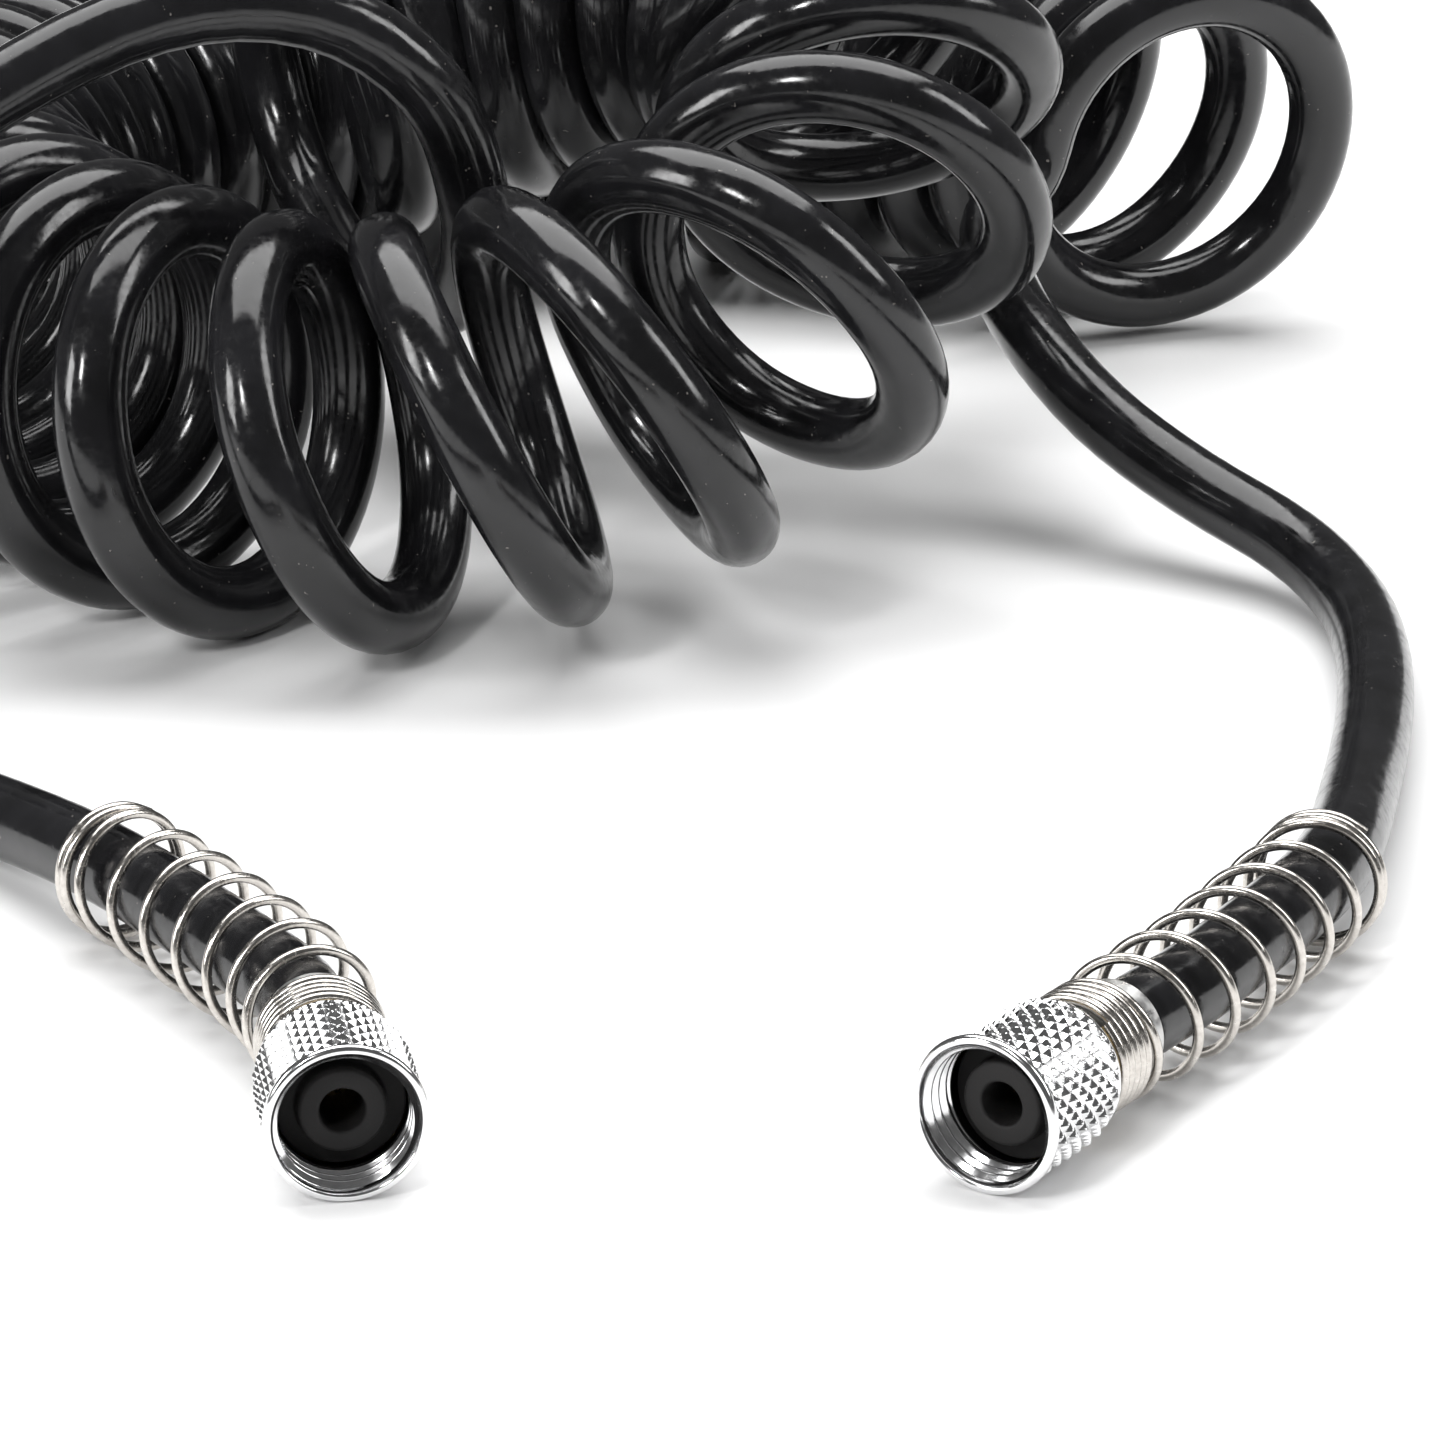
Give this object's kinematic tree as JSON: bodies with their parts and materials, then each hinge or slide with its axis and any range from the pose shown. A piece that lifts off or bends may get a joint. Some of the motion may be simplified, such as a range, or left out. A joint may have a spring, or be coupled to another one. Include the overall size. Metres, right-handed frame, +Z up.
{
  "type": "coiled air hose with swivel nuts",
  "caption": "Coiled flexible air hose; each end has a knurled swivel nut with a female thread and seal, and a wire spring bend guard.",
  "frame": {"origin": "on the floor, at the bottom centre of the box round the two end fittings", "axes": "+Z up from the floor; +Y from the nuts' mouths towards the wound coil; +X to the right of someone looking along +Y"},
  "size_m": [0.151, 0.2457, 0.0604],
  "materials": {
    "black_hose": "glossy polyurethane",
    "chromed_nut": "bright chrome over brass, diamond knurl",
    "spring_wire": "bright drawn wire",
    "brass_stem": "turned",
    "ferrule_metal": "plain",
    "black_seal": "matt moulded rubber"
  },
  "bodies": {
    "hose": {"barb_stem_a": "brass_stem", "seal_washer_a": "black_seal", "ferrule_a": "ferrule_metal", "bend_guard_a": "spring_wire", "hose_tail_a": "black_hose", "barb_stem_b": "brass_stem", "seal_washer_b": "black_seal", "ferrule_b": "ferrule_metal", "bend_guard_b": "spring_wire", "hose_tail_b": "black_hose", "hose_coil": "black_hose"},
    "nut_a": {"swivel_nut_a": "chromed_nut"},
    "nut_b": {"swivel_nut_b": "chromed_nut"}
  },
  "joints": [
    {"name": "nut_a_swivel", "type": "hinge", "parent": "hose", "child": "nut_a", "pos_m": [-0.0241, -0.0239, 0.0055], "axis": [0.1736, -0.9848, 0], "continuous": true},
    {"name": "nut_b_swivel", "type": "hinge", "parent": "hose", "child": "nut_b", "pos_m": [0.017, -0.0225, 0.0055], "axis": [-0.5519, -0.8339, 0], "continuous": true}
  ]
}
